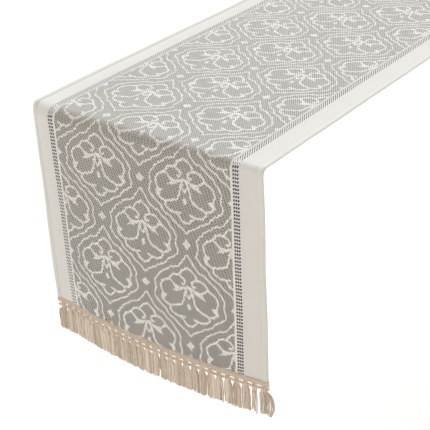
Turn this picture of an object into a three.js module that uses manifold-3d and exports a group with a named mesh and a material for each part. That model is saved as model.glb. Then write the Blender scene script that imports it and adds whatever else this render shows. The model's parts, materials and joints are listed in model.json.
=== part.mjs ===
// A fringed table runner, draped over a table: one long woven cloth that lies flat on the
// table top, bends over both table ends and hangs down, with a knotted fringe on each end.
// Millimetres, +Z up. X runs across the runner and Y along it, and the front end is at -Y.
// The origin is on the underside of the cloth, in the middle of the table top.
import * as THREE from "three";
import { mergeVertices } from "three/addons/utils/BufferGeometryUtils.js";
import Module from "manifold-3d";

const wasm = await Module();
wasm.setup();

// ---- Driving dimensions ----
const CLOTH_WIDTH = 330;
const CLOTH_THICKNESS = 1.2;
const TABLE_LENGTH = 1220; // between the inner faces of the two hanging ends
const CLOTH_HEM_DEPTH = 264; // how far the cloth's end hangs below the table top
const BEND_RADIUS = 6; // the table's rounded edge, inside the bend
const BEND_STEPS = 6;
const SIDE_HEM_WIDTH = 8; // the long sides are turned under and sewn
const SIDE_HEM_EXTRA = 0.8; // what the turning adds to the thickness
const CLEARANCE = 0.3; // between pieces that touch or are sewn together

const FRINGE_HEIGHT = 47; // from the cloth's end to the cut ends of the strands
const HEADER_HEIGHT = 13.2; // knitted band, slots and chain row together
const HEADER_THICKNESS = 2.4;
const SLOT_WIDTH = 6.2;
const SLOT_HEIGHT = 2.6;
const SLOT_TOP = 7.6; // below the header's upper edge
const TASSEL_PITCH = 11.65;
// Each end's trim is cut from a roll. The left end of the front one is cut through a slot;
// the rear one keeps a short plain tab at both ends.
const FRONT_TRIM = { side: "front", end: -1, firstSlot: 3, slots: 28, tassels: 28 };
const REAR_TRIM = { side: "rear", end: 1, firstSlot: 7.7, slots: 28, tassels: 27 };
const TASSEL_PIVOT_DROP = 2; // the strands swing about a line this far below the header
const TASSEL_RISE = 1.4; // the tassel's rounded head above that line
const TASSEL_GAP = 0.35;

// ---- Materials ----
const jacquard = new THREE.MeshStandardMaterial({ color: 0xb4b0a6, roughness: 0.85, metalness: 0 });
const yarn = new THREE.MeshStandardMaterial({ color: 0xccb89b, roughness: 0.8, metalness: 0 });

// ---- Helpers ----

// A closed loft through rings of equally many points, each ring counter-clockwise as seen
// from the end of the loft.
function loft(rings) {
  const count = rings[0].length;
  const triangles = [];
  for (let r = 0; r + 1 < rings.length; r++) {
    for (let i = 0; i < count; i++) {
      const j = (i + 1) % count;
      const [a, b, c, d] = [rings[r][i], rings[r][j], rings[r + 1][j], rings[r + 1][i]];
      triangles.push(a, b, c, a, c, d);
    }
  }
  capRing(rings[0], triangles, true);
  capRing(rings[rings.length - 1], triangles, false);
  return new THREE.BufferGeometry().setFromPoints(triangles);
}

// Closes a flat ring, which may have hollow corners.
function capRing(ring, triangles, reversed) {
  const normal = new THREE.Vector3();
  ring.forEach((p, i) => normal.add(new THREE.Vector3().crossVectors(p, ring[(i + 1) % ring.length])));
  normal.normalize();
  const across = new THREE.Vector3().subVectors(ring[1], ring[0]).normalize();
  const up = new THREE.Vector3().crossVectors(normal, across);
  const flat = ring.map((p) => new THREE.Vector2(p.dot(across), p.dot(up)));
  for (const [a, b, c] of THREE.ShapeUtils.triangulateShape(flat, [])) {
    const corners = [ring[a], ring[b], ring[c]];
    triangles.push(...(reversed ? corners.reverse() : corners));
  }
}

function named(name, geometry, material) {
  const mesh = new THREE.Mesh(geometry, material);
  mesh.name = name;
  return mesh;
}

// ---- The cloth ----

// The cloth's section: flat on the table side, thicker over the two side hems. The first
// number is across the runner and the second is out from the table.
function clothSection() {
  const half = CLOTH_WIDTH / 2;
  const hem = half - SIDE_HEM_WIDTH;
  const thick = CLOTH_THICKNESS + SIDE_HEM_EXTRA;
  const slope = SIDE_HEM_EXTRA;
  return [
    [-half, 0],
    [half, 0],
    [half, thick],
    [hem, thick],
    [hem - slope, CLOTH_THICKNESS],
    [slope - hem, CLOTH_THICKNESS],
    [-hem, thick],
    [-half, thick],
  ];
}

// The section placed at one station of the cloth's path, where the path runs towards +Y or up.
function clothRing(y, z, outY, outZ) {
  return clothSection()
    .map(([across, out]) => new THREE.Vector3(across, y + outY * out, z + outZ * out))
    .reverse();
}

// Stations round the bend over one table end, from the hanging side to the top.
function bendRings(end) {
  const centreY = end * (TABLE_LENGTH / 2 - BEND_RADIUS);
  const rings = [];
  for (let i = 0; i <= BEND_STEPS; i++) {
    const angle = (i / BEND_STEPS) * (Math.PI / 2);
    const outY = end * Math.cos(angle);
    const outZ = Math.sin(angle);
    rings.push(clothRing(centreY + BEND_RADIUS * outY, BEND_RADIUS * (outZ - 1), outY, outZ));
  }
  return rings;
}

function topCloth() {
  return loft([...bendRings(-1), ...bendRings(1).reverse()]);
}

// A hanging end: from just under the bend down to the fringe.
function hangingCloth(end) {
  const y = (end * TABLE_LENGTH) / 2;
  const upper = clothRing(y, -BEND_RADIUS - CLEARANCE, end, 0);
  const lower = clothRing(y, -CLOTH_HEM_DEPTH, end, 0);
  return loft(end < 0 ? [lower, upper] : [upper, lower]);
}

// ---- The fringe ----

const midPlane = (end) => end * (TABLE_LENGTH / 2 + CLOTH_THICKNESS / 2);
const headerTop = -CLOTH_HEM_DEPTH - CLEARANCE;
const pivotZ = headerTop - HEADER_HEIGHT - TASSEL_PIVOT_DROP;

// The middle of slot i, counted from the left; tassels hang midway between the slots.
const slotX = (trim, i) => -CLOTH_WIDTH / 2 + trim.firstSlot + i * TASSEL_PITCH;

// A box as a solid to cut with, from its lowest corner and its size.
function boxSolid(corner, size) {
  const box = new THREE.BoxGeometry(...size);
  box.translate(...corner.map((low, i) => low + size[i] / 2));
  box.deleteAttribute("normal");
  box.deleteAttribute("uv");
  const merged = mergeVertices(box);
  return new wasm.Manifold(
    new wasm.Mesh({
      numProp: 3,
      vertProperties: merged.attributes.position.array,
      triVerts: new Uint32Array(merged.index.array),
    }),
  );
}

function solidGeometry(solid) {
  const { vertProperties, triVerts } = solid.getMesh();
  const geometry = new THREE.BufferGeometry();
  geometry.setAttribute("position", new THREE.BufferAttribute(vertProperties, 3));
  geometry.setIndex(new THREE.BufferAttribute(triVerts, 1));
  return geometry;
}

// The knitted header: a band, a row of slots and the chain row that ties the tassels. A slot
// that reaches the trim's end is cut open there.
function header(trim) {
  const near = midPlane(trim.end) - HEADER_THICKNESS / 2;
  const edge = -CLOTH_WIDTH / 2;
  let solid = boxSolid(
    [edge, near, headerTop - HEADER_HEIGHT],
    [CLOTH_WIDTH, HEADER_THICKNESS, HEADER_HEIGHT],
  );
  for (let i = 0; i < trim.slots; i++) {
    const right = slotX(trim, i) + SLOT_WIDTH / 2;
    const left = right - SLOT_WIDTH < edge + 1 ? edge - 1 : right - SLOT_WIDTH;
    const slot = boxSolid(
      [left, near - 1, headerTop - SLOT_TOP - SLOT_HEIGHT],
      [right - left, HEADER_THICKNESS + 2, SLOT_HEIGHT],
    );
    solid = solid.subtract(slot);
  }
  return solidGeometry(solid);
}

// A tassel hung from its pivot line: a narrow tied neck that spreads to fill its share of
// the row. Each station is [height above the pivot, half width, half thickness].
function tassel() {
  const spread = (TASSEL_PITCH - TASSEL_GAP) / 2;
  const foot = pivotZ + CLOTH_HEM_DEPTH + FRINGE_HEIGHT;
  const stations = [
    [-foot, spread, 1.4],
    [-9, spread, 1.5],
    [-3, 3.9, 1.5],
    [0, 3.5, 1.4],
    [0.9, 3.2, 1.0],
    [TASSEL_RISE, 2.2, 0.5],
  ];
  const corners = [
    [1, -0.5],
    [1, 0.5],
    [0.7, 1],
    [-0.7, 1],
    [-1, 0.5],
    [-1, -0.5],
    [-0.7, -1],
    [0.7, -1],
  ];
  return loft(
    stations.map(([z, w, t]) => corners.map(([x, y]) => new THREE.Vector3(x * w, y * t, z))),
  );
}

function fringe(trim) {
  const group = new THREE.Group();
  group.add(named(`${trim.side}_fringe_header`, header(trim), yarn));
  for (let i = 0; i < trim.tassels; i++) {
    const number = String(i + 1).padStart(2, "0");
    const piece = named(`${trim.side}_tassel_${number}`, tassel(), yarn);
    piece.position.set(slotX(trim, i + 0.5), midPlane(trim.end), pivotZ);
    group.add(piece);
  }
  return group;
}

// ---- The runner ----
const runner = new THREE.Group();
runner.add(named("face_cloth_top", topCloth(), jacquard));
runner.add(named("face_cloth_front_drop", hangingCloth(-1), jacquard));
runner.add(named("face_cloth_rear_drop", hangingCloth(1), jacquard));
runner.add(fringe(FRONT_TRIM));
runner.add(fringe(REAR_TRIM));

export default runner;
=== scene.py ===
"""The looks of a fringed jacquard table runner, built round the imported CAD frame.

Metres, +Z up. The runner lies on a table top that isn't shown, and both ends hang down.
A half of the cloth is described flat: u runs across it, to the right as seen from outside
its end; v runs along it from the middle of the bend, down the hanging end where positive;
and h stands out of the cloth's face. place() drapes such points over the table.
"""

import json
import math
from types import SimpleNamespace

import bpy
import numpy as np
from mathutils import Matrix, Vector


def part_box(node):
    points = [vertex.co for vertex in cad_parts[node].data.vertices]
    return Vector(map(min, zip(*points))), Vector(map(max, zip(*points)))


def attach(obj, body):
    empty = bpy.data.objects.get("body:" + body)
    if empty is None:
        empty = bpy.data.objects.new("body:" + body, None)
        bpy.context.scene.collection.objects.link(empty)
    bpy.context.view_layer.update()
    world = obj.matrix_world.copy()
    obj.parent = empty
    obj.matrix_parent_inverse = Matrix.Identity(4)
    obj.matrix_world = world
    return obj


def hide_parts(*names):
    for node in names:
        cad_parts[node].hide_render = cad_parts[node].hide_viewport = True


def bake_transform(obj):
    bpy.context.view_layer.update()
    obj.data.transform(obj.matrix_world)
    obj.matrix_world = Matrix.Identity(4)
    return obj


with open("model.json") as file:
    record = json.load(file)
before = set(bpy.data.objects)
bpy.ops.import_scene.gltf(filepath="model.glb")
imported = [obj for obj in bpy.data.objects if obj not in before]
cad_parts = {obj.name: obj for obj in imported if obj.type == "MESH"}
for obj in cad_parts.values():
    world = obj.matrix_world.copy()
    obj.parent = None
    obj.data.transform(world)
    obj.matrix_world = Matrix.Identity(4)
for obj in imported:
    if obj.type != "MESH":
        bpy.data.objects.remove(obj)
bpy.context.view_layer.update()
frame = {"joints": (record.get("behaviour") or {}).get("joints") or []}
rng = np.random.default_rng(28)

MM = 0.001

# ---- Sizes read from the frame ----
HALF_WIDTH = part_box("face_cloth_top")[1].x
TABLE_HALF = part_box("face_cloth_rear_drop")[0].y
CLOTH_FOOT_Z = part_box("face_cloth_front_drop")[0].z
HEADER_FOOT_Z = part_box("front_fringe_header")[0].z
PIVOT_Z = next(j for j in frame["joints"] if j["name"] == "front_fringe_swing")["pos_m"][2]
TASSEL_LENGTH = PIVOT_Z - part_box("front_tassel_01")[0].z  # below its pivot line

# ---- The cloth ----
THICKNESS = 1.2 * MM
EDGE_RADIUS = 6 * MM  # the table's rounded edge
MIDDLE_RADIUS = 10 * MM  # the cloth bends less sharply than the edge under it
DROP_LENGTH = -EDGE_RADIUS - CLOTH_FOOT_Z


def bend(radius):
    """The length of a bend of this radius, and the v of its middle. The cloth on the table
    and the hanging cloth lie in the same places whatever the radius."""
    return math.pi / 2 * (radius + THICKNESS / 2), (math.pi / 4 - 1) * (radius - EDGE_RADIUS)


CLOTH_START = -(bend(EDGE_RADIUS)[0] / 2 + TABLE_HALF - EDGE_RADIUS)  # the table's middle
CLOTH_END = bend(MIDDLE_RADIUS)[0] / 2 + bend(MIDDLE_RADIUS)[1] - MIDDLE_RADIUS - CLOTH_FOOT_Z
HEADER_END = CLOTH_END + CLOTH_FOOT_Z - HEADER_FOOT_Z
BENT = (-14 * MM, 13 * MM)  # every point that lies on a bend has its v between these
SEAM_U = HALF_WIDTH - 7.4 * MM  # the side hem's stitching
TUCK_START = 130 * MM  # how far left of the middle the tuck begins
TUCK_TURN = 150 * MM  # how far below the bend it ends and turns outwards
WAVE_SIZE = 0.5 * MM  # the waves of a hanging end
CREASE_SIZE = 0.25 * MM  # the unevenness of the cloth on the table

# Each end hangs a little differently. round: the bend's radius at the left and at the right
# edge. bow: how far the middle of the lower edge stands forward of the corners. lean: how far
# its left and right corners stand forward of the table's end. shift: how far its foot lies to
# the right. tuck: how far the left edge draws back just under the bend.
HALVES = [
    SimpleNamespace(
        side="front", end=-1, round=(14 * MM, 6 * MM), bow=14.8 * MM,
        lean=(-9.8 * MM, -1.35 * MM), shift=0.1 * MM, tuck=6.0 * MM,
        drop="front_drop", fringe="front_fringe", tassels=28, first_slot=3.0 * MM,
    ),
    SimpleNamespace(
        side="rear", end=1, round=(11 * MM, 9 * MM), bow=11.0 * MM,
        lean=(-2.0 * MM, -5.0 * MM), shift=-1.0 * MM, tuck=3.0 * MM,
        drop="rear_drop", fringe="rear_fringe", tassels=27, first_slot=7.7 * MM,
    ),
]

# ---- The woven pattern ----
REPEAT_U = 125.4 * MM
REPEAT_V = 132.9 * MM
PATTERN_U = -0.3 * MM  # the middle column of medallions
PATTERN_V = -19.55 * MM  # a small square of the two outer columns
FIELD_MIDDLE = -1.1 * MM  # the field and its stripes lie a little to the left
FIELD_HALF = 124.2 * MM
PIN_HALF = 126.7 * MM  # the pinstripe's outer edge
BAND_HALF = 135.5 * MM  # the dash stripe's outer edge
TWILL_ANGLE = math.radians(58.5)
TWILL_U, TWILL_W = math.sin(TWILL_ANGLE), math.cos(TWILL_ANGLE)  # across the twill's rows
ROW_PITCH = 1.125 * MM  # two rows of floats to one visible line of the twill
RING_STROKE = 1.7 * MM
FLOWER_STROKE = 2.35 * MM
DRAWN_WIDTH = 127.2 / 125.4  # the drawing below was made for a wider repeat
SQUARE_HALF = 5.7 * MM

# Half of the medallion, in millimetres from its middle: x right, y towards the crown.
RING = [
    (0, 53.5), (2.8, 50.5), (7.8, 43.3), (13.3, 36.1), (17.8, 33.9), (22.8, 33.1),
    (26.7, 30.6), (30, 27.2), (35, 24.4), (39.4, 21.1), (42.2, 16.7), (46.1, 12.8),
    (49.4, 7.8), (48.9, 3.3), (47.8, -1.1), (49.4, -6.7), (51.1, -11.7), (48.9, -15.6),
    (44.4, -20), (38.9, -23.3), (35, -26.1), (33.3, -29.4), (29.4, -33.3), (24.4, -35.9),
    (21.1, -36.7), (17.2, -40.6), (11.1, -44.4), (5.6, -47.2), (0, -52.8),
]
FLOWER_LINES = [
    [(0, 37), (5.6, 33.9), (10, 30), (12.8, 24.4)],  # crown
    [(12.8, 24.4), (17.8, 24.4), (22.2, 22.8), (25.6, 18.9), (27.8, 15.6)],  # side petal
    [(12.8, 24.4), (7.8, 22.2), (4.4, 18.9), (5, 16.1), (7.8, 13.9), (9.5, 15)],  # curl
    [(0, 12.8), (3.3, 11.1), (7.8, 8.9), (14.4, 8.3), (20.6, 10), (23.9, 13.9), (27.8, 15.6)],
    [
        (27.8, 15.6), (33.3, 12.8), (38.3, 8.9), (41.1, 3.3), (39.4, -2.2), (37.8, -6.7),
        (40, -11.7), (38.3, -14.4), (33.3, -17.8), (27.8, -19.4),
    ],  # large lobe
    [
        (0, 12.2), (3.9, 7.8), (5.6, 3.3), (6.7, -2.2), (7.8, -7.2), (10, -12.2),
        (14.4, -15), (21.1, -17.2), (27.8, -19.4),
    ],  # stem
    [(27.8, -19.4), (28.3, -23.3), (25.6, -27.2), (18.9, -30), (12.2, -30), (6.5, -28.5)],
    [(11.7, -30.6), (8.9, -33.9), (5.6, -37.8), (0, -40)],  # foot
    [(0, 11.4), (3.4, 8.6), (3.8, 4.4), (2.4, 0.4), (0, -2.2)],  # ring round the eye
]
FLOWER_PATCHES = [
    [(6, 9.5), (14, 8.5), (20.5, 9.5), (18.5, 6.5), (23.5, 1.5), (14, 3.5), (9, 6.5)],
    [(31.5, -7), (37.5, -5.5), (41, -12), (37.5, -15.5)],
]
SEED = ((0, -13.9), (2.5, 4.0))  # a filled oval under the eye: middle, half size

# ---- The fringe ----
TASSEL_PITCH = 11.65 * MM
SLOTS = 28  # in each header
SLOT_WIDTH = 6.2 * MM
SLOT_TOP, SLOT_FOOT = 7.6 * MM, 10.2 * MM  # below the header's upper edge
HEADER_FACE, HEADER_BACK = 0.45 * MM, -1.65 * MM  # h of the band's two faces
CORD_RADIUS = 0.9 * MM
CORD_GIRTH = 3.5 * MM  # one turn round a cord, in the yarn's pattern


# ---- Draping ----


def place(half, u, v, h):
    """Drapes flat cloth points over the table and returns them as an array of x, y, z."""
    u, v, h = np.broadcast_arrays(*(np.asarray(a, float) for a in (u, v, h)))
    across = u / HALF_WIDTH
    radius = from_edges(half.round, across)
    length, middle = bend(radius)
    turn = np.clip((v - middle) / length + 0.5, 0, 1) * math.pi / 2
    flat = np.maximum(middle - length / 2 - v, 0)
    fall = np.maximum(v - middle - length / 2, 0)
    share = fall / DROP_LENGTH
    bow = half.bow * share
    near_left = np.clip((-u - TUCK_START) / (HALF_WIDTH - TUCK_START), 0, 1)
    tuck = half.tuck * near_left**2 * (1 - fall / TUCK_TURN) * np.sin(turn) ** 2
    out = bow * (1 - across**2) + from_edges(half.lean, across) * share - tuck
    out = out + ripple(half, u, fall)
    x = u * (1 - 2 / 3 * (bow / HALF_WIDTH) ** 2) + half.shift * share + edge_wander(u, fall)
    y = TABLE_HALF - radius - flat + (radius + THICKNESS + h) * np.sin(turn) + out
    z = -radius + (radius + THICKNESS + h) * np.cos(turn) - fall + crease(u, flat)
    return np.stack([-half.end * x, half.end * y, z], axis=-1)


def from_edges(values, across):
    """Between a value at the left edge, where across is -1, and one at the right edge."""
    return values[0] * (1 - across) / 2 + values[1] * (1 + across) / 2


def ripple(half, u, fall):
    """The slight waves of a hanging end, out of its plane."""
    grow = np.clip(fall / (90 * MM), 0, 1)
    phase = 1.0 if half.end < 0 else 2.6
    wide = np.sin(u / (52 * MM) + phase) * np.sin(fall / (75 * MM) + phase)
    edge = np.sin(fall / (31 * MM) + 3 * phase) * np.abs(u / HALF_WIDTH) ** 6
    return grow * (WAVE_SIZE * wide + WAVE_SIZE * edge)


def edge_wander(u, fall):
    """The side edges of a hanging end aren't quite straight."""
    grow = np.clip(fall / (60 * MM), 0, 1) * (u / HALF_WIDTH) ** 3
    return grow * (WAVE_SIZE * np.sin(fall / (24 * MM) + u * 3))


def crease(u, flat):
    """The top lies flat but for faint unevenness, never below the table."""
    grow = np.clip(flat / (40 * MM), 0, 1)
    swell = np.sin(flat / (83 * MM) + u / (61 * MM)) * np.sin(flat / (37 * MM) - u / (97 * MM))
    return grow * CREASE_SIZE * (swell + 1)


def twill_phase():
    """The offset that makes the twill rows of both halves meet in the middle of the table."""
    return (TWILL_W * -CLOTH_START) % ROW_PITCH


# ---- Meshes ----


def new_object(name, points, faces, mats, slots=None, uvs=None, shades=None):
    """A mesh object. slots: a material index for each face. uvs: a (u, v) for each vertex.
    shades: a number for each vertex, which the yarn materials vary their colour by."""
    mesh = bpy.data.meshes.new(name)
    mesh.from_pydata(np.asarray(points).reshape(-1, 3).tolist(), [], faces)
    for mat in mats:
        mesh.materials.append(mat)
    if slots is not None:
        mesh.polygons.foreach_set("material_index", np.asarray(slots, np.int32))
    if uvs is not None:
        corner = np.zeros(len(mesh.loops), np.int32)
        mesh.loops.foreach_get("vertex_index", corner)
        layer = mesh.uv_layers.new(name="Weave")
        layer.data.foreach_set("uv", np.asarray(uvs, np.float32)[corner].ravel())
    if shades is not None:
        shade = mesh.attributes.new("shade", "FLOAT", "POINT")
        shade.data.foreach_set("value", np.asarray(shades, np.float32))
    mesh.validate()
    mesh.shade_smooth()
    mesh.set_sharp_from_angle(angle=math.radians(55))
    obj = bpy.data.objects.new(name, mesh)
    bpy.context.scene.collection.objects.link(obj)
    return obj


# One float, the short stretch where a thread lies on top: a closed shape of eight points,
# pointed at both ends. Each point is where it lies along the float (0 and 3 are the tips, 1
# and 2 the shoulders), its side and its share of the height.
FLOAT = np.array(
    [
        (0, 0, 0), (1, -1, 0), (1, 0, 1), (1, 1, 0),
        (2, -1, 0), (2, 0, 1), (2, 1, 0), (3, 0, 0),
    ]
)
FLOAT_FACES = [
    (0, 3, 2), (0, 2, 1), (2, 3, 6, 5), (1, 2, 5, 4), (7, 5, 6), (7, 4, 5),
    (0, 1, 3), (1, 4, 6, 3), (4, 7, 6),
]
TIP_WIDTHS, TIP_SHARE = 0.55, 0.3  # a tip's length in widths, and its largest share
FLOAT_SUNK = 0.06 * MM  # how deep a float's sides lie in what it lies on
FLOAT_SHIFT = 0.7 * MM  # from float to float, in the yarn's pattern


def floats(half, name, starts, ends, width, height, mats, base=0.0, side=1, shade=None):
    """Threads that lie on the cloth from starts to ends, both arrays of flat (u, v). side is
    1 on the face and -1 on the reverse, and base is the h that they lie on. shade, from 0
    to 1, is how light each is. It is random where none is given."""
    count = len(starts)
    run = ends - starts
    length = np.maximum(np.linalg.norm(run, axis=1), 1e-6)
    across = np.stack([-run[:, 1], run[:, 0]], axis=1) / length[:, None]
    width = np.broadcast_to(width, count)
    height = np.broadcast_to(height, count)
    tip = np.minimum(TIP_WIDTHS * width / length, TIP_SHARE)
    stops = np.stack([0 * tip, tip, 1 - tip, 0 * tip + 1], axis=1)
    share = stops[:, FLOAT[:, 0].astype(int)]
    flat = (
        starts[:, None, :]
        + share[:, :, None] * run[:, None, :]
        + (FLOAT[:, 1] / 2)[None, :, None] * (across * width[:, None])[:, None, :]
    )
    h = base + side * (FLOAT[None, :, 2] * (height[:, None] + FLOAT_SUNK) - FLOAT_SUNK)
    points = place(half, flat[..., 0], flat[..., 1], h)
    pattern = [f if side > 0 else f[::-1] for f in FLOAT_FACES]
    faces = [tuple(len(FLOAT) * i + k for k in f) for i in range(count) for f in pattern]
    along = share * length[:, None] + np.arange(count)[:, None] * FLOAT_SHIFT
    beside = (FLOAT[None, :, 1] * width[:, None]) / 2
    uvs = np.stack([along, beside], axis=-1)
    if shade is None:
        shade = rng.random(count)
    shades = np.repeat(np.broadcast_to(shade, count), len(FLOAT))
    return new_object(name, points, faces, mats, uvs=uvs.reshape(-1, 2), shades=shades)


def tubes(name, paths, radii, mats):
    """Strands as closed tubes. paths: strands x stations x 3. radii: strands x stations."""
    sides = 6
    strands, stations = paths.shape[:2]
    angle = np.arange(sides) / sides * 2 * math.pi
    ring = np.stack([np.cos(angle), np.sin(angle), 0 * angle], axis=1)
    points = paths[:, :, None, :] + radii[:, :, None, None] * ring[None, None]
    faces = []
    for s in range(strands):
        first = s * stations * sides
        for k in range(stations - 1):
            low = first + k * sides
            for i in range(sides):
                j = (i + 1) % sides
                faces.append((low + i, low + sides + i, low + sides + j, low + j))
        faces.append(tuple(first + i for i in range(sides)))
        last = first + (stations - 1) * sides
        faces.append(tuple(last + i for i in reversed(range(sides))))
    step = np.linalg.norm(np.diff(paths, axis=1), axis=2)
    along = np.concatenate([np.zeros((strands, 1)), np.cumsum(step, axis=1)], axis=1)
    turn = np.broadcast_to(angle / (2 * math.pi), (strands, stations, sides))
    along = np.broadcast_to(along[:, :, None], turn.shape)
    uvs = np.stack([along, turn * CORD_GIRTH], axis=-1)
    shades = np.repeat(rng.random(strands), stations * sides)
    return new_object(name, points, faces, mats, uvs=uvs.reshape(-1, 2), shades=shades)


def thicken(face_points, back_points, quads):
    """A closed shell between two layers of the same quads. Returns points and faces."""
    count = len(face_points)
    edges = {}
    for q in quads:
        for a, b in zip(q, q[1:] + q[:1]):
            edges[(a, b)] = edges.get((a, b), 0) + 1
    walls = [(b, a, a + count, b + count) for a, b in edges if (b, a) not in edges]
    backs = [tuple(i + count for i in reversed(q)) for q in quads]
    return np.concatenate([face_points, back_points]), list(quads) + backs + walls


# ---- The pattern's drawing ----


def near_line(x, y, line, stroke):
    """True where a point is within half a stroke of a line through these points."""
    hit = np.zeros(x.shape, bool)
    for (ax, ay), (bx, by) in zip(line, line[1:]):
        dx, dy = bx - ax, by - ay
        t = np.clip(((x - ax) * dx + (y - ay) * dy) / (dx * dx + dy * dy), 0, 1)
        hit |= np.hypot(x - ax - t * dx, y - ay - t * dy) < stroke / 2
    return hit


def in_patch(x, y, corners):
    """True inside a polygon."""
    inside = np.zeros(x.shape, bool)
    for (ax, ay), (bx, by) in zip(corners, corners[1:] + corners[:1]):
        if ay != by:
            crosses = (ay > y) != (by > y)
            inside ^= crosses & (x < (bx - ax) * (y - ay) / (by - ay) + ax)
    return inside


def medallion(x, y):
    """True where one medallion, its ring and flower, is drawn. Millimetres from its middle."""
    x = np.abs(x) * DRAWN_WIDTH
    hit = near_line(x, y, RING, RING_STROKE / MM)
    for line in FLOWER_LINES:
        hit |= near_line(x, y, line, FLOWER_STROKE / MM)
    for patch in FLOWER_PATCHES:
        hit |= in_patch(x, y, patch)
    (seed_x, seed_y), (wide, tall) = SEED
    return hit | (((x - seed_x) / wide) ** 2 + ((y - seed_y) / tall) ** 2 < 1)


DRAWING_STEP = 0.2  # millimetres
LINE_WANDER = 0.45  # millimetres


def draw_repeat():
    """The pattern's repeat as a grid of true and false: columns of medallions, every other
    column dropped by half a repeat, with a small square between each two of a column."""
    wide, tall = REPEAT_U / MM, REPEAT_V / MM
    x = np.arange(0, wide, DRAWING_STEP)[None, :] - wide / 2
    y = np.arange(0, tall, DRAWING_STEP)[:, None] - tall / 2
    x, y = np.broadcast_arrays(x, y)
    # The threads can't follow a line exactly, so it wanders a little.
    waves = 2 * math.pi / wide, 2 * math.pi / tall
    x = x + LINE_WANDER * np.sin(19 * waves[1] * y + 5 * waves[0] * x)
    y = y + LINE_WANDER * np.sin(17 * waves[0] * x + 6 * waves[1] * y)
    beside = wide / 2 - np.abs(x)
    hit = medallion(x, y)
    hit |= medallion(beside, y - tall / 2) | medallion(beside, y + tall / 2)
    square = SQUARE_HALF / MM
    hit |= np.abs(x) + np.abs(np.abs(y) - tall / 2) < square
    hit |= beside + np.abs(y) < square
    return hit


def drawn(repeat, half, u, v):
    """Whether the figure is drawn at flat points of a half."""
    if half.end > 0:
        u, v = -u, 2 * CLOTH_START - v
    column = np.mod(u - PATTERN_U + REPEAT_U / 2, REPEAT_U) / MM / DRAWING_STEP
    # A square of the outer columns is level with a medallion's middle in the centre column.
    up = PATTERN_V - v
    row = np.mod(up + REPEAT_V / 2, REPEAT_V) / MM / DRAWING_STEP
    rows, columns = repeat.shape
    return repeat[row.astype(int) % rows, column.astype(int) % columns]


def twill_runs(half, drop, low_u, high_u, wanted, step=0.2 * MM):
    """Cuts the twill's rows to where wanted(u, v) is true between two values of u. Returns
    the runs' starts and ends as flat points and each run's row number."""
    length = CLOTH_END if drop else -CLOTH_START
    sign = 1 if drop else -1
    first = (TWILL_U * low_u - twill_phase()) / ROW_PITCH
    last = (TWILL_U * high_u + TWILL_W * length - twill_phase()) / ROW_PITCH
    rows = np.arange(math.floor(first), math.ceil(last) + 1)
    along = np.arange(0, length + step, step)  # measured as w, the distance from the bend
    offset = rows[:, None] * ROW_PITCH + twill_phase()
    w = np.broadcast_to(along[None, :], (len(rows), len(along)))
    u = (offset - TWILL_W * w) / TWILL_U
    inside = (u > low_u) & (u < high_u) & (w < length)
    hit = np.zeros(u.shape, bool)
    hit[inside] = wanted(u[inside], sign * w[inside])
    padded = np.pad(hit, ((0, 0), (1, 1))).astype(np.int8)
    row_on, on = np.nonzero(np.diff(padded, axis=1) == 1)
    _, off = np.nonzero(np.diff(padded, axis=1) == -1)
    off = np.maximum(off - 1, on)
    starts = np.stack([u[row_on, on], sign * w[row_on, on]], axis=1)
    ends = np.stack([u[row_on, off], sign * w[row_on, off]], axis=1)
    return starts, ends, rows[row_on]


def cut_long(starts, ends, rows, longest, gap):
    """Cuts long runs into floats of even length, with a gap where a thread goes under."""
    length = np.linalg.norm(ends - starts, axis=1)
    parts = np.maximum(np.ceil(length / longest), 1).astype(int)
    index = np.repeat(np.arange(len(starts)), parts)
    first = np.concatenate([[0], np.cumsum(parts)[:-1]])
    k = np.arange(len(index)) - np.repeat(first, parts)
    run = (ends - starts)[index]
    n = parts[index][:, None]
    trim = np.where(n > 1, gap / 2 / np.maximum(length[index], 1e-6)[:, None], 0)
    a = starts[index] + run * (k[:, None] / n + trim)
    b = starts[index] + run * ((k[:, None] + 1) / n - trim)
    return a, b, rows[index]


def stretched(starts, ends, by, least):
    """Makes each run longer at both ends, and at least as long as least."""
    run = ends - starts
    length = np.linalg.norm(run, axis=1)
    unit = np.where(
        length[:, None] > 1e-6,
        run / np.maximum(length, 1e-6)[:, None],
        np.array([[TWILL_W, -TWILL_U]]),
    )
    more = np.maximum(by, (least - length) / 2)[:, None]
    return starts - unit * more, ends + unit * more


# ---- Materials ----


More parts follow.
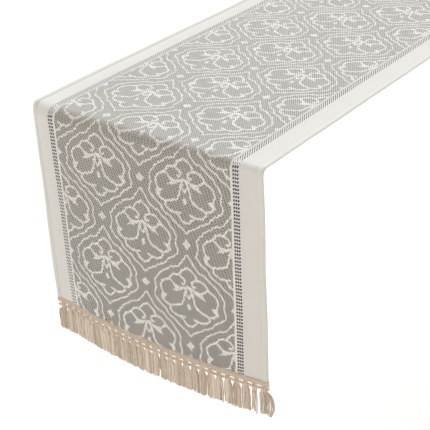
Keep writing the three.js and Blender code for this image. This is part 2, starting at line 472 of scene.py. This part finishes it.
class Nodes:
    """Short calls for building one material's node tree."""

    def __init__(self, name, roughness, sheen, gloss=0.2):
        self.mat = bpy.data.materials.new(name)
        self.mat.use_nodes = True
        self.tree = self.mat.node_tree
        self.shader = self.tree.nodes["Principled BSDF"]
        self.shader.inputs["Roughness"].default_value = roughness
        self.shader.inputs["Sheen Weight"].default_value = sheen
        self.shader.inputs["Sheen Roughness"].default_value = 0.5
        self.shader.inputs["Specular IOR Level"].default_value = gloss

    def add(self, kind, inputs=(), **settings):
        node = self.tree.nodes.new(kind)
        for key, value in settings.items():
            setattr(node, key, value)
        for key, value in dict(inputs).items():
            self.feed(node.inputs[key], value)
        return node

    def feed(self, socket, value):
        if isinstance(value, bpy.types.NodeSocket):
            self.tree.links.new(value, socket)
        else:
            socket.default_value = value

    def math(self, operation, a, b=0.0, c=0.0):
        node = self.add("ShaderNodeMath", {0: a, 1: b, 2: c}, operation=operation)
        return node.outputs[0]

    def weave(self):
        """The flat cloth coordinates, in millimetres."""
        uv = self.add("ShaderNodeUVMap", uv_map="Weave").outputs[0]
        xyz = self.add("ShaderNodeSeparateXYZ", {0: uv})
        return self.math("DIVIDE", xyz.outputs[0], MM), self.math("DIVIDE", xyz.outputs[1], MM)

    def wave(self, distance, period):
        """From -1 to 1, once per period."""
        return self.math("SINE", self.math("MULTIPLY", distance, 2 * math.pi / period))

    def noise(self, x, y, size, detail, z=0.0):
        """Noise from 0 to 1 with blobs of about that many millimetres."""
        spot = self.add("ShaderNodeCombineXYZ", {0: x, 1: y, 2: z}).outputs[0]
        inputs = {"Vector": spot, "Scale": 1.0 / size, "Detail": detail}
        return self.add("ShaderNodeTexNoise", inputs).outputs["Fac"]

    def ramp(self, share, *stops):
        """A colour ramp through (position, colour) stops."""
        node = self.add("ShaderNodeValToRGB", {0: share})
        elements = node.color_ramp.elements
        while len(elements) < len(stops):
            elements.new(0.5)
        for element, (position, colour) in zip(elements, stops):
            element.position = position
            element.color = (*colour, 1)
        return node.outputs[0]

    def mix(self, share, a, b):
        node = self.add("ShaderNodeMix", data_type="RGBA")
        self.feed(node.inputs[0], share)
        self.feed(node.inputs[6], a)
        self.feed(node.inputs[7], b)
        return node.outputs[2]

    def finish(self, colour, height, depth):
        """Sets the colour, and a bump that is depth metres high where height is 1."""
        self.feed(self.shader.inputs["Base Color"], colour)
        inputs = {"Height": height, "Distance": depth, "Strength": 1.0}
        bump = self.add("ShaderNodeBump", inputs)
        self.feed(self.shader.inputs["Normal"], bump.outputs[0])
        return self.mat


def ground_cloth(name, dark, light, warm):
    """The field's grey ground: a fine twill whose lines come and go."""
    n = Nodes(name, roughness=0.5, sheen=0.1, gloss=0.5)
    u, w = n.weave()
    across = n.math("ADD", n.math("MULTIPLY", u, TWILL_U), n.math("MULTIPLY", w, TWILL_W))
    lines = n.wave(across, 2 * ROW_PITCH / MM)
    along = n.math("SUBTRACT", n.math("MULTIPLY", u, TWILL_W), n.math("MULTIPLY", w, TWILL_U))
    ticks = n.wave(along, 1.5)
    patch = n.noise(u, w, 9.0, detail=3.0)
    lint = n.noise(along, n.math("MULTIPLY", across, 3.0), 2.2, detail=4.0, z=5.0)
    strength = n.math("MULTIPLY", n.math("SUBTRACT", patch, 0.25), 0.9)
    shade = n.math("MULTIPLY", lines, strength)
    shade = n.math("ADD", shade, n.math("MULTIPLY", ticks, 0.06))
    shade = n.math("ADD", shade, n.math("MULTIPLY", n.math("SUBTRACT", lint, 0.5), 1.1))
    share = n.math("MULTIPLY_ADD", shade, 0.5, 0.5)
    grey = n.ramp(share, (0.0, dark), (1.0, light))
    tint = n.math("MULTIPLY", n.noise(u, w, 26.0, detail=2.0, z=9.0), 0.7)
    colour = n.mix(tint, grey, n.ramp(share, (0.0, tuple(0.9 * c for c in warm)), (1.0, warm)))
    height = n.math("ADD", lines, n.math("MULTIPLY", ticks, 0.5))
    return n.finish(colour, height, 0.12 * MM)


def plain_cloth(name, dark, light, ribs):
    """The border: a close plain weave, with faint ribs beside the dash stripe. The weave and the
    ribs are bumps, with painted shade in the colour: lighter where they stand high, darker
    between.
    """
    n = Nodes(name, roughness=0.88, sheen=0.2)
    u, w = n.weave()
    warp, weft = n.wave(u, 1.3), n.wave(w, 1.1)
    weave = n.math("MULTIPLY", warp, weft)
    cloud = n.noise(u, w, 30.0, detail=3.0)
    slub = n.noise(n.math("MULTIPLY", u, 4.0), w, 12.0, detail=3.0, z=2.0)
    share = n.math("ADD", n.math("MULTIPLY", cloud, 0.5), n.math("MULTIPLY", slub, 0.5))
    # Painted shade: the colour is a little lighter where the weave's bump is high and darker
    # between.
    share = n.math("ADD", share, n.math("MULTIPLY", weave, 0.05))
    height = weave
    if ribs:
        inner = BAND_HALF / MM
        beside = n.math("SUBTRACT", n.math("ABSOLUTE", u), inner)
        near = n.math("LESS_THAN", beside, 8.5)
        lines = n.math("MULTIPLY", n.wave(beside, 2.8), near)
        slant = n.math("ADD", n.math("MULTIPLY", u, TWILL_U), n.math("MULTIPLY", w, TWILL_W))
        lines = n.math("ADD", lines, n.math("MULTIPLY", n.wave(slant, 2.25), near))
        # Painted shade: the colour is a little lighter on the ribs' crests and darker between
        # them.
        share = n.math("ADD", share, n.math("MULTIPLY", lines, 0.06))
        height = n.math("ADD", height, lines)
    return n.finish(n.ramp(share, (0.25, dark), (0.75, light)), height, 0.06 * MM)


def thread(name, dark, light, roughness=0.85, sheen=0.3, twist=1.3, gloss=0.2):
    """A twisted yarn. Each strand has its own shade, and the plies show as slanted lines, one
    every twist millimetres: in the bump, and as painted shade in the colour, lighter on their
    crests and darker in the grooves."""
    n = Nodes(name, roughness=roughness, sheen=sheen, gloss=gloss)
    along, beside = n.weave()
    own = n.add("ShaderNodeAttribute", attribute_name="shade").outputs["Fac"]
    slant = n.math("ADD", along, n.math("MULTIPLY", beside, 0.9))
    plies = n.wave(slant, twist)
    lint = n.noise(along, n.math("MULTIPLY", own, 90.0), 4.0, detail=3.0)
    share = n.math("ADD", n.math("MULTIPLY", own, 0.5), n.math("MULTIPLY", lint, 0.5))
    # Painted shade: the colour is lighter on the plies' crests and darker in their grooves,
    # following the bump.
    share = n.math("ADD", share, n.math("MULTIPLY", plies, 0.08))
    return n.finish(n.ramp(share, (0.15, dark), (0.85, light)), plies, 0.05 * MM)


ground = ground_cloth(
    "jacquard_ground", (0.335, 0.335, 0.302), (0.50, 0.505, 0.467), warm=(0.435, 0.40, 0.352)
)
reverse = ground_cloth(
    "jacquard_reverse", (0.50, 0.47, 0.41), (0.72, 0.69, 0.62), warm=(0.66, 0.60, 0.52)
)
border = plain_cloth("border_plain", (0.71, 0.716, 0.678), (0.735, 0.741, 0.704), ribs=True)
stripe_white = plain_cloth("stripe_white", (0.71, 0.715, 0.695), (0.77, 0.775, 0.76), ribs=False)
cream = thread("figure_cream", (0.80, 0.815, 0.77), (0.90, 0.915, 0.88), twist=1.6)
slate = thread(
    "ground_slate", (0.05, 0.051, 0.046), (0.13, 0.132, 0.12),
    roughness=0.48, sheen=0.05, gloss=0.6,
)
charcoal = thread(
    "stripe_charcoal", (0.025, 0.027, 0.025), (0.055, 0.057, 0.053),
    roughness=0.5, sheen=0.05, gloss=0.5,
)
taupe = thread("reverse_taupe", (0.26, 0.24, 0.21), (0.38, 0.36, 0.32))
fringe_yarn = thread("fringe_yarn", (0.48, 0.405, 0.31), (0.86, 0.80, 0.69), twist=2.2)
sewing = thread("sewing_thread", (0.66, 0.62, 0.54), (0.80, 0.77, 0.70), roughness=0.6, twist=0.5)


# ---- The cloth ----

# The cloth's section on the right of its middle, from the middle of the face, round the
# hemmed edge and back to the middle of the reverse: u and h, in millimetres.
SECTION = [
    (0, 0), (20, 0), (41, 0), (62, 0), (83, 0), (104, 0), (124.2, 0), (126.7, 0), (135.5, 0),
    (143, 0), (150, 0), (156.6, 0), (157.6, -0.12), (158.5, 0.5), (159.6, 0.76), (162, 0.8),
    (163.6, 0.7), (164.6, 0.3), (165, -0.2), (164.6, -0.75), (163.6, -1.12), (162, -1.2),
    (157.4, -1.2), (157.0, -0.95), (156.6, -1.2), (150, -1.2), (135.5, -1.2), (126.7, -1.2),
    (104, -1.2), (83, -1.2), (62, -1.2), (41, -1.2), (20, -1.2), (0, -1.2),
]


def section_loop():
    """The whole section as a closed loop, with the material index of each step round it."""
    right = np.array(SECTION) * MM
    left = right[1:-1][::-1] * (-1, 1)
    loop = np.concatenate([right, left])
    following = np.roll(loop, -1, axis=0)
    middle = np.abs(loop[:, 0] + following[:, 0]) / 2
    on_reverse = (loop[:, 1] + following[:, 1]) / 2 < -THICKNESS * 0.9
    zone = np.where(middle > BAND_HALF, 1, np.where(middle > FIELD_HALF, 2, 0))
    loop[np.abs(loop[:, 0]) < 1.01 * BAND_HALF, 0] += FIELD_MIDDLE
    return loop, np.where(on_reverse & (zone != 1), 3, zone)


def stations():
    """v of the rings along a half: wide steps on the flat, close ones round the bend."""
    flat = np.linspace(CLOTH_START, BENT[0], 58)
    around = np.linspace(*BENT, 28)[1:]
    fall = np.linspace(BENT[1], CLOTH_END, 52)[1:]
    return np.concatenate([flat, around, fall])


def cloth(half):
    loop, zones = section_loop()
    along = stations()
    count = len(loop)
    u, v = np.meshgrid(loop[:, 0], along)
    h = np.broadcast_to(loop[:, 1], u.shape)
    faces, slots = [], []
    for k in range(len(along) - 1):
        low, high = k * count, (k + 1) * count
        for i in range(count):
            j = (i + 1) % count
            faces.append((low + i, high + i, high + j, low + j))
            slots.append(zones[i])
    foot = (len(along) - 1) * count
    faces.append(tuple(range(count)))
    faces.append(tuple(foot + i for i in reversed(range(count))))
    slots += [1, 1]
    uvs = np.stack([u, np.abs(v)], axis=-1).reshape(-1, 2)
    mats = [ground, border, stripe_white, reverse]
    name = half.side + "_cloth"
    return new_object(name, place(half, u, v, h), faces, mats, slots=slots, uvs=uvs)


# ---- Threads on the cloth ----


GROUND_FLOAT, GROUND_GAP = 5.6 * MM, 1.3 * MM  # from float to float along a row, and the gap
GROUND_STEP = 0.93 * MM  # how much later they start on the next row
GROUND_LEAST = 0.8 * MM  # shorter stretches are left out
GROUND_WIDTH = 1.05, 1.3  # the narrowest and the widest, in row pitches
GROUND_HEIGHT = 0.14, 0.24  # the lowest and the highest, in millimetres
# The figure's floats, on its bold rows and on the rows between them.
FIGURE_FLOAT, FIGURE_GAP = 6.5 * MM, 0.35 * MM
FIGURE_REACH = 1.2, -0.5  # past the drawing at both ends, in millimetres
FIGURE_LEAST = 3.0, 0.5  # the shortest, in millimetres
FIGURE_WIDTH = 1.2, 0.9  # in row pitches
FIGURE_HEIGHT = 0.42, 0.26  # in millimetres
PIN_FLOAT, PIN_GAP, PIN_THREADS = 7.5 * MM, 0.25 * MM, 3
PIN_CUTS = 4  # how many parts a float is cut in where it crosses the table's edge
DASH_INSET = 0.08  # the share of its lane that a short dash leaves free at each end
DASH_WIDTH = 1.15 * MM  # on the table
DASH_HANGING = 2.4 * MM, 1.85 * MM  # on a hanging end, in the right stripe and in the left
FIELD_LEFT, FIELD_RIGHT = FIELD_MIDDLE - FIELD_HALF, FIELD_MIDDLE + FIELD_HALF


def field_runs(half, wanted):
    """twill_runs over the whole field of a half."""
    parts = [twill_runs(half, drop, FIELD_LEFT, FIELD_RIGHT, wanted) for drop in (False, True)]
    return tuple(np.concatenate(arrays) for arrays in zip(*parts))


def figure(half, repeat):
    """The cream floats that draw the figure, cut from the twill's rows. Every other row
    is bold and reaches further, which gives the figure its combed edges."""
    found = field_runs(half, lambda u, v: drawn(repeat, half, u, v))
    starts, ends, rows = cut_long(*found, longest=FIGURE_FLOAT, gap=FIGURE_GAP)
    bold = rows % 2 == 0
    reach = (np.where(bold, *FIGURE_REACH) + rng.normal(0, 0.25, len(starts))) * MM
    starts, ends = stretched(starts, ends, reach, np.where(bold, *FIGURE_LEAST) * MM)
    width = np.where(bold, *FIGURE_WIDTH) * ROW_PITCH
    height = np.where(bold, *FIGURE_HEIGHT) * MM
    return floats(half, half.side + "_figure", starts, ends, width, height, [cream])


def ground_floats(half, repeat):
    """The dark floats of the ground, on every other row of the twill. They start a third
    later on each row, so that the gaps between them make a second set of faint lines."""

    def wanted(u, v):
        w = np.abs(v)
        row = np.round((TWILL_U * u + TWILL_W * w - twill_phase()) / ROW_PITCH)
        along = TWILL_W * u - TWILL_U * w + row * GROUND_STEP
        return ~drawn(repeat, half, u, v) & (np.mod(along, GROUND_FLOAT) > GROUND_GAP)

    starts, ends, rows = field_runs(half, wanted)
    long_enough = np.linalg.norm(ends - starts, axis=1) > GROUND_LEAST
    dark = (rows % 2 == 1) & long_enough
    starts, ends = starts[dark], ends[dark]
    starts, ends = stretched(starts, ends, rng.normal(0, 0.12, len(starts)) * MM, 0.0)
    width = ROW_PITCH * rng.uniform(*GROUND_WIDTH, len(starts))
    height = rng.uniform(*GROUND_HEIGHT, len(starts)) * MM
    return floats(half, half.side + "_ground", starts, ends, width, height, [slate])


def reverse_figure(half, repeat):
    """On the reverse the colours change places, and the figure shows grey."""
    starts, ends, rows = field_runs(half, lambda u, v: drawn(repeat, half, u, v))
    bold = rows % 2 == 0
    starts, ends = stretched(starts[bold], ends[bold], 0.2 * MM, 1.6 * MM)
    name = half.side + "_reverse_figure"
    width, height = 1.7 * ROW_PITCH, 0.15 * MM
    return floats(half, name, starts, ends, width, height, [taupe], base=-THICKNESS, side=-1)


def pinstripes(half):
    """A satin line down each side of the field: a few threads side by side."""
    starts, ends = [], []
    span = CLOTH_END - CLOTH_START
    count = int(span / PIN_FLOAT)
    pitch = span / count
    spacing = (PIN_HALF - FIELD_HALF) / PIN_THREADS
    for sign in (-1, 1):
        for lane in range(PIN_THREADS):
            u = np.full(count, FIELD_MIDDLE + sign * (FIELD_HALF + (lane + 0.5) * spacing))
            begin = CLOTH_START + (np.arange(count) + lane / PIN_THREADS) * pitch
            stop = np.minimum(begin + pitch - PIN_GAP, CLOTH_END)
            starts.append(np.stack([u, begin], axis=1))
            ends.append(np.stack([u, stop], axis=1))
    starts, ends = np.concatenate(starts), np.concatenate(ends)
    # Only short floats bend well.
    bent = (ends[:, 1] > BENT[0]) & (starts[:, 1] < BENT[1])
    a, part = starts[bent], (ends[bent] - starts[bent]) / PIN_CUTS
    starts = np.concatenate([starts[~bent], *(a + part * k for k in range(PIN_CUTS))])
    ends = np.concatenate([ends[~bent], *(a + part * (k + 1) for k in range(PIN_CUTS))])
    name = half.side + "_pinstripes"
    return floats(half, name, starts, ends, 1.0 * MM, 0.4 * MM, [cream], shade=0.7)


def everywhere(u, v):
    """True at every flat point."""
    return np.ones(u.shape, bool)


def dashes(half):
    """The dark dashes of the two stripes. Each crosses its stripe in one long float on the
    table and in three short, broad ones on the hanging end."""
    found = []
    edges = np.linspace(PIN_HALF + 0.3 * MM, BAND_HALF - 0.2 * MM, 4)
    for drop in (False, True):
        lanes = list(zip(edges, edges[1:])) if drop else [(edges[0], edges[-1])]
        for sign in (-1, 1):
            for inner, outer in lanes:
                inset = DASH_INSET * (outer - inner) if drop else 0
                inner, outer = inner + inset, outer - inset
                low, high = sorted((FIELD_MIDDLE + sign * inner, FIELD_MIDDLE + sign * outer))
                runs = twill_runs(half, drop, low, high, everywhere, step=0.1 * MM)
                found.append([array[runs[2] % 2 == 1] for array in runs])
    starts, ends, rows = (np.concatenate(arrays) for arrays in zip(*found))
    starts, ends, rows = cut_long(starts, ends, rows, longest=8 * MM, gap=0.1 * MM)
    name = half.side + "_stripe_dashes"
    hanging = np.where(starts[:, 0] > 0, *DASH_HANGING)
    width = np.where(starts[:, 1] > 0, hanging, DASH_WIDTH)
    return floats(half, name, starts, ends, width, 0.3 * MM, [charcoal])


def stitch_row(u, first, last, pitch, gap):
    """Stitches down a line of constant u, as starts and ends."""
    count = int((last - first) / pitch)
    begin = first + np.arange(count) * (last - first) / count
    stop = begin + (last - first) / count - gap
    line = np.full(count, u)
    return np.stack([line, begin], axis=1), np.stack([line, stop], axis=1)


def side_seams(half):
    """The lockstitch of both side hems, on the face and on the reverse."""
    pitch, gap, width, height = 3.1 * MM, 0.6 * MM, 0.5 * MM, 0.24 * MM
    made = []
    for side, base in ((1, -0.12 * MM), (-1, -THICKNESS)):
        rows = [
            stitch_row(sign * SEAM_U, CLOTH_START, CLOTH_END, pitch, gap)
            for sign in (-1, 1)
        ]
        starts = np.concatenate([r[0] for r in rows])
        ends = np.concatenate([r[1] for r in rows])
        name = half.side + ("_side_seams" if side > 0 else "_side_seams_reverse")
        made.append(
            floats(half, name, starts, ends, width, height, [sewing], base=base, side=side)
        )
    return made


# ---- The fringe ----


def slot_middle(half, i):
    return -HALF_WIDTH + half.first_slot + i * TASSEL_PITCH


def header_band(half):
    """The knitted band with its row of slots. A slot that reaches the end is cut open."""
    slots = [
        (slot_middle(half, i) - SLOT_WIDTH / 2, slot_middle(half, i) + SLOT_WIDTH / 2)
        for i in range(SLOTS)
    ]
    edges = [-HALF_WIDTH, HALF_WIDTH]
    for left, right in slots:
        step = (right - left) / 4
        edges += [left + k * step for k in range(5) if left + k * step > -HALF_WIDTH + 0.4 * MM]
    edges = np.array(sorted(edges))
    # How far below the band's upper edge, and how far both faces are drawn in there.
    drops = np.array([0, 0.5, 2.5, 5.0, 7.1, 7.6, 10.2, 10.7, 12.6, 13.2]) * MM
    rounding = np.array([0.55, 0.1, 0, 0, 0.05, 0.45, 0.45, 0.05, 0.1, 0.6]) * MM
    u, v = np.meshgrid(edges, CLOTH_END + drops)
    inset = np.broadcast_to(rounding[:, None], u.shape)
    face = place(half, u, v, HEADER_FACE - inset).reshape(-1, 3)
    back = place(half, u, v, HEADER_BACK + inset).reshape(-1, 3)
    quads = []
    columns = len(edges)
    for r in range(len(drops) - 1):
        for c in range(columns - 1):
            middle = (edges[c] + edges[c + 1]) / 2
            in_slot = any(left < middle < right for left, right in slots)
            if drops[r] == SLOT_TOP and in_slot:
                continue
            a = r * columns + c
            quads.append((a, a + columns, a + columns + 1, a + 1))
    points, faces = thicken(face, back, quads)
    flat = np.stack([u, v], axis=-1).reshape(-1, 2)
    uvs = np.concatenate([flat, flat])
    shades = np.tile(0.7, len(points))
    name = half.side + "_header_band"
    return new_object(name, points, faces, [fringe_yarn], uvs=uvs, shades=shades)


def chain(left, right, middle, tall, pitch, slant):
    """A row of knitted stitches across the header: the two legs of each loop make a V."""
    count = int(round((right - left) / pitch))
    u = left + (np.arange(count) + 0.5) * (right - left) / count
    starts, ends = [], []
    for lean in (-1, 1):
        foot, top = np.full(count, middle + tall / 2), np.full(count, middle - tall / 2)
        starts.append(np.stack([u + lean * pitch * 0.08, foot], axis=1))
        ends.append(np.stack([u + lean * slant, top], axis=1))
    return np.concatenate(starts), np.concatenate(ends)


# The band's knitting, in millimetres: the middles of its rows and of the chain row that ties
# the tassels, below the header's upper edge, and the posts between two slots.
KNIT_ROWS = 1.35, 3.75, 6.15
CHAIN_ROW = 11.7
POSTS = 0.9, 2.72, 4.55
KNIT_PITCH = 2.33 * MM


def header_stitches(half):
    """The knitting that shows on both faces of the band."""
    made = []
    left, right = -HALF_WIDTH + 0.3 * MM, HALF_WIDTH - 0.3 * MM
    for side, base in ((1, HEADER_FACE), (-1, HEADER_BACK)):
        rows = [
            chain(left, right, CLOTH_END + at * MM, 2.7 * MM, KNIT_PITCH, 0.75 * MM)
            for at in KNIT_ROWS
        ]
        at = CLOTH_END + CHAIN_ROW * MM
        rows.append(chain(left, right, at, 3.0 * MM, KNIT_PITCH, 0.85 * MM))
        posts = []
        for i in range(-1, SLOTS):
            first = slot_middle(half, i) + SLOT_WIDTH / 2
            for lane in POSTS:
                if left < first + lane * MM < right:
                    posts.append(first + lane * MM)
        posts = np.array(posts)
        top, foot = CLOTH_END + SLOT_TOP - 0.6 * MM, CLOTH_END + SLOT_FOOT + 0.5 * MM
        rows.append(
            (
                np.stack([posts, np.full(len(posts), top)], axis=1),
                np.stack([posts, np.full(len(posts), foot)], axis=1),
            )
        )
        starts = np.concatenate([r[0] for r in rows])
        ends = np.concatenate([r[1] for r in rows])
        starts += rng.normal(0, 0.12 * MM, starts.shape)
        name = half.side + ("_header_stitches" if side > 0 else "_header_stitches_reverse")
        shade = 0.3 + 0.7 * rng.random(len(starts))
        made.append(
            floats(
                half, name, starts, ends, 1.25 * MM, 0.7 * MM, [fringe_yarn],
                base=base, side=side, shade=shade,
            )
        )
    return made


def header_seam(half):
    """The stitching that holds the header to the cloth."""
    reach, pitch, stitch = HALF_WIDTH - 2 * MM, 3.2 * MM, 2.6 * MM
    u = np.linspace(-reach, reach - pitch, int(2 * reach / pitch))
    v = np.full(len(u), CLOTH_END + 2.4 * MM)
    starts, ends = np.stack([u, v], axis=1), np.stack([u + stitch, v], axis=1)
    name, base = half.side + "_header_seam", HEADER_FACE + 0.35 * MM
    return floats(half, name, starts, ends, 0.5 * MM, 0.3 * MM, [sewing], base=base)


def smooth(t):
    t = np.clip(t, 0, 1)
    return t * t * (3 - 2 * t)


# A tassel's layers: how far each stands out, in millimetres, and its number of cords.
TASSEL_LAYERS = {
    "even": [(-0.85, 6), (0.85, 6), (0.0, 4)],
    "thin": [(-0.6, 3), (0.6, 3)],
    "fan": [(-0.85, 7), (0.85, 8), (0.0, 6)],
}
NECK_DEPTHS = -3.6, -1.6, 0.2, 1.8, 3.6, 5.6  # below the pivot line, in millimetres
NECK_HALF = 4.5 * MM
NECK_TOP, NECK_LENGTH = -1.6 * MM, 6.0 * MM  # where a tassel spreads, below that line
OVERLAP = 0.5 * MM  # past a tassel's share of the row, at both sides
THIN_HALF = 3.9 * MM


def tassel(half, i):
    """A tassel: cords tied to a narrow neck under the header, spreading and hanging. Three
    of the front end differ: the first reaches left under the band's end, and the last two
    are a thin one and a fan that stands out to the right and comes back."""
    middle = slot_middle(half, i + 0.5)
    special = {0: "first", half.tassels - 2: "thin", half.tassels - 1: "fan"}
    kind = special.get(i, "even") if half.side == "front" else "even"
    layers = TASSEL_LAYERS.get(kind, TASSEL_LAYERS["even"])
    neck_depths = np.array(NECK_DEPTHS) * MM
    depths = np.concatenate([neck_depths, np.linspace(8.6 * MM, TASSEL_LENGTH, 6)])
    share = np.clip(depths / TASSEL_LENGTH, 0, 1)
    neck, full = NECK_HALF - CORD_RADIUS, TASSEL_PITCH / 2 + OVERLAP - CORD_RADIUS
    spread = smooth((depths - NECK_TOP) / NECK_LENGTH)
    clump = rng.normal(0, 0.5) * MM
    paths, radii = [], []
    for layer, (depth_h, number) in enumerate(layers):
        for k in range(number):
            side = ((k + 0.5 + layer * 0.25) / number * 2 - 1) * 0.97
            sway = (clump + rng.normal(0, 0.5) * MM) * share**1.4
            bend_by = rng.normal(0, 0.28) * MM * spread
            wave = bend_by * np.sin(depths / (rng.uniform(2.6, 5.0) * MM) + rng.random() * 6)
            du = side * (neck + (full - neck) * spread) + sway + wave
            if kind == "first":
                du = du * (1 + 0.3 * spread) - 2.8 * MM * spread
            elif kind == "thin":
                du = side * THIN_HALF * (1 + 0.2 * share) - 0.8 * MM * share + wave
            elif kind == "fan":
                swing = (8.4 * (0.5 + 0.5 * side) - 0.4) * MM
                du = du * (1 + 0.15 * spread) + swing * np.sin(share**0.8 * 2.7)
            dh = (depth_h * (0.7 + 0.4 * spread) + rng.normal(0, 0.16)) * MM
            length = 1 + np.clip(rng.normal(0, 0.035), -0.09, 0.045)
            fall = np.where(depths > 0, depths * length, depths)
            root = place(half, middle, HEADER_END + (HEADER_FOOT_Z - PIVOT_Z), -THICKNESS / 2)
            path = np.empty((len(depths), 3))
            path[:, 0] = root[0] - half.end * du
            path[:, 1] = root[1] + half.end * dh
            path[:, 2] = root[2] - fall
            paths.append(path)
            radii.append(CORD_RADIUS * (0.8 + 0.2 * spread) * (1 + rng.normal(0, 0.09)))
    name = f"{half.side}_tassel_{i + 1:02d}_strands"
    obj = tubes(name, np.array(paths), np.array(radii), [fringe_yarn])
    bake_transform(obj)
    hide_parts(f"{half.side}_tassel_{i + 1:02d}")
    return obj


# ---- Building the runner ----


def bend_with(half, obj):
    """A piece of the cloth, which lies on the table, with its placement baked into its mesh."""
    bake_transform(obj)
    return obj


def build(half, repeat):
    fabric = bend_with(half, cloth(half))
    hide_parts("face_cloth_top", f"face_cloth_{half.side}_drop")
    on_it = [
        bend_with(half, figure(half, repeat)),
        bend_with(half, ground_floats(half, repeat)),
        bend_with(half, reverse_figure(half, repeat)),
        bend_with(half, pinstripes(half)),
        bend_with(half, dashes(half)),
    ]
    on_it += [bend_with(half, seam) for seam in side_seams(half)]
    band = header_band(half)
    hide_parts(f"{half.side}_fringe_header")
    trim = [band, *header_stitches(half)]
    for obj in trim[1:]:
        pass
    trim.append(header_seam(half))
    for obj in trim:
        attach(obj, half.drop)
    tassels = [tassel(half, i) for i in range(half.tassels)]


# ---- Camera, light and floor ----


def aim(obj, azimuth, elevation, roll):
    """Turns a camera to an azimuth and down by an elevation, and rolls it, in degrees."""
    a, e = math.radians(azimuth), math.radians(elevation)
    forward = Vector((-math.sin(a) * math.cos(e), math.cos(a) * math.cos(e), -math.sin(e)))
    turn = forward.to_track_quat("-Z", "Y").to_matrix().to_4x4()
    turn = turn @ Matrix.Rotation(math.radians(roll), 4, "Z")
    obj.matrix_world = Matrix.Translation(obj.location) @ turn


# The brighter parts of the studio's sky: the direction towards each, how tightly it glows
# and its colour times strength. The first is the key, up and away from the camera, which
# gives the cloth on the table its soft gloss. The second lights the hanging end from the
# left, and the last is its warm fill from the right.
SKY_BASE = 0.30
SKY_GLOWS = [
    ((-0.459, 0.585, 0.669), 4, (3.25, 3.31, 3.37)),
    ((-0.79, -0.59, 0.15), 6, (1.33, 1.37, 1.34)),
    ((0.85, -0.52, 0.10), 8, (1.38, 0.59, 0.14)),
]


def add_camera():
    data = bpy.data.cameras.new("camera")
    data.lens = 95.48
    data.sensor_width = 36
    camera = bpy.data.objects.new("camera", data)
    bpy.context.scene.collection.objects.link(camera)
    camera.location = (0.75413, -1.44324, 0.51214)
    aim(camera, azimuth=38.131, elevation=28.758, roll=-2.868)
    bpy.context.scene.camera = camera


def add_sky():
    """An even sky with a few soft glows, which light the whole scene."""
    world = bpy.data.worlds.new("world")
    world.use_nodes = True
    nodes, links = world.node_tree.nodes, world.node_tree.links

    def math_node(kind, operation):
        node = nodes.new(kind)
        node.operation = operation
        return node

    toward = nodes.new("ShaderNodeTexCoord").outputs["Generated"]
    total = None
    for direction, tightness, colour in SKY_GLOWS:
        facing = math_node("ShaderNodeVectorMath", "DOT_PRODUCT")
        facing.inputs[1].default_value = direction
        links.new(toward, facing.inputs[0])
        above = math_node("ShaderNodeMath", "MAXIMUM")
        above.inputs[1].default_value = 0.0
        links.new(facing.outputs["Value"], above.inputs[0])
        glow = math_node("ShaderNodeMath", "POWER")
        glow.inputs[1].default_value = tightness
        links.new(above.outputs[0], glow.inputs[0])
        added = math_node("ShaderNodeVectorMath", "MULTIPLY_ADD")
        links.new(glow.outputs[0], added.inputs[0])
        added.inputs[1].default_value = colour
        if total is None:
            added.inputs[2].default_value = [SKY_BASE] * 3
        else:
            links.new(total, added.inputs[2])
        total = added.outputs[0]
    # What shows past the floor's far edge is plain white.
    plain = nodes.new("ShaderNodeMix")
    plain.data_type = "RGBA"
    seen = nodes.new("ShaderNodeLightPath").outputs["Is Camera Ray"]
    links.new(seen, plain.inputs[0])
    links.new(total, plain.inputs[6])
    plain.inputs[7].default_value = (1, 1, 1, 1)
    links.new(plain.outputs[2], nodes["Background"].inputs["Color"])
    nodes["Background"].inputs["Strength"].default_value = 1.0
    bpy.context.scene.world = world


def add_surroundings():
    """The sky, and a pale floor below the runner."""
    add_sky()
    mesh = bpy.data.meshes.new("floor")
    reach, depth = 9.0, -0.75
    corners = [(-reach, -reach), (reach, -reach), (reach, reach), (-reach, reach)]
    mesh.from_pydata([(x, y, depth) for x, y in corners], [], [(0, 1, 2, 3)])
    floor = bpy.data.objects.new("floor", mesh)
    bpy.context.scene.collection.objects.link(floor)
    mat = bpy.data.materials.new("floor_pale")
    mat.use_nodes = True
    shader = mat.node_tree.nodes["Principled BSDF"]
    shader.inputs["Base Color"].default_value = (0.98, 0.98, 0.98, 1)
    shader.inputs["Roughness"].default_value = 0.9
    mesh.materials.append(mat)


add_camera()
add_surroundings()
bpy.context.scene.view_settings.view_transform = "Standard"
drawing = draw_repeat()
for one_half in HALVES:
    build(one_half, drawing)
